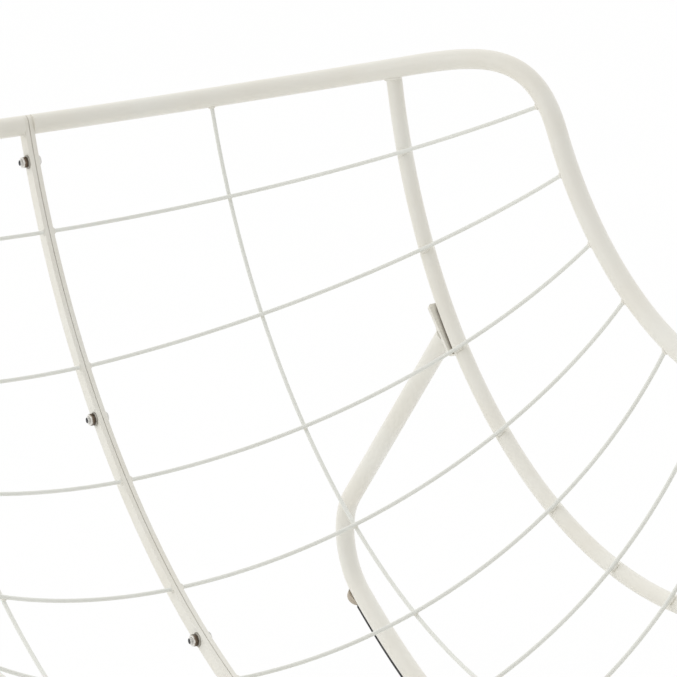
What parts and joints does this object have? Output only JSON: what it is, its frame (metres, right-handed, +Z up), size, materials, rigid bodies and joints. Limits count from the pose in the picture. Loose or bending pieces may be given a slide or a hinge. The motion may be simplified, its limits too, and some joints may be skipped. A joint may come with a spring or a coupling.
{
  "type": "rocking egg chair",
  "caption": "Open egg-shaped bowl chair of white welded wire and bent tube, in mirrored halves bolted along a flat bar spine, standing on curved tube rockers.",
  "frame": {"origin": "middle of the overall box, at floor level", "axes": "+Z up, +X to the right of a viewer who faces the seat's open front, the sitter faces -Y"},
  "size_m": [1.0712, 1.205, 0.9024],
  "materials": {
    "white_coat": "semi-gloss off-white powder coat on steel",
    "zinc_steel": "bright zinc plate",
    "black_rubber": "matt",
    "grey_rubber": "matt beige grey"
  },
  "bodies": {
    "root": {"hoop_left_1": "white_coat", "hoop_left_2": "white_coat", "hoop_left_3": "white_coat", "hoop_left_4": "white_coat", "hoop_left_5": "white_coat", "hoop_left_6": "white_coat", "hoop_left_7": "white_coat", "hoop_left_8": "white_coat", "hoop_right_1": "white_coat", "hoop_right_2": "white_coat", "hoop_right_3": "white_coat", "hoop_right_4": "white_coat", "hoop_right_5": "white_coat", "hoop_right_6": "white_coat", "hoop_right_7": "white_coat", "hoop_right_8": "white_coat", "inserts_front_left": "zinc_steel", "inserts_front_right": "zinc_steel", "inserts_rear_left": "zinc_steel", "inserts_rear_right": "zinc_steel", "plate_bolts_front_left": "zinc_steel", "plate_bolts_front_right": "zinc_steel", "plate_bolts_rear_left": "zinc_steel", "plate_bolts_rear_right": "zinc_steel", "plate_front_left": "white_coat", "plate_front_right": "white_coat", "plate_rear_left": "white_coat", "plate_rear_right": "white_coat", "rib_left": "white_coat", "rib_right": "white_coat", "rim_left": "white_coat", "rim_right": "white_coat", "rocker_left": "white_coat", "rocker_right": "white_coat", "spine_bar_left": "white_coat", "spine_bar_right": "white_coat", "spine_bolt_1": "zinc_steel", "spine_bolt_2": "zinc_steel", "spine_bolt_3": "zinc_steel", "spine_bolt_4": "zinc_steel", "spine_bolt_5": "zinc_steel", "spine_nut_1": "zinc_steel", "spine_nut_2": "zinc_steel", "spine_nut_3": "zinc_steel", "spine_nut_4": "zinc_steel", "spine_nut_5": "zinc_steel", "stop_front_left": "grey_rubber", "stop_front_right": "grey_rubber", "stop_rear_left": "grey_rubber", "stop_rear_right": "grey_rubber", "stretcher_front": "white_coat", "stretcher_rear": "white_coat", "tread_left": "black_rubber", "tread_right": "black_rubber", "upright_left": "white_coat", "upright_right": "white_coat"}
  },
  "joints": []
}
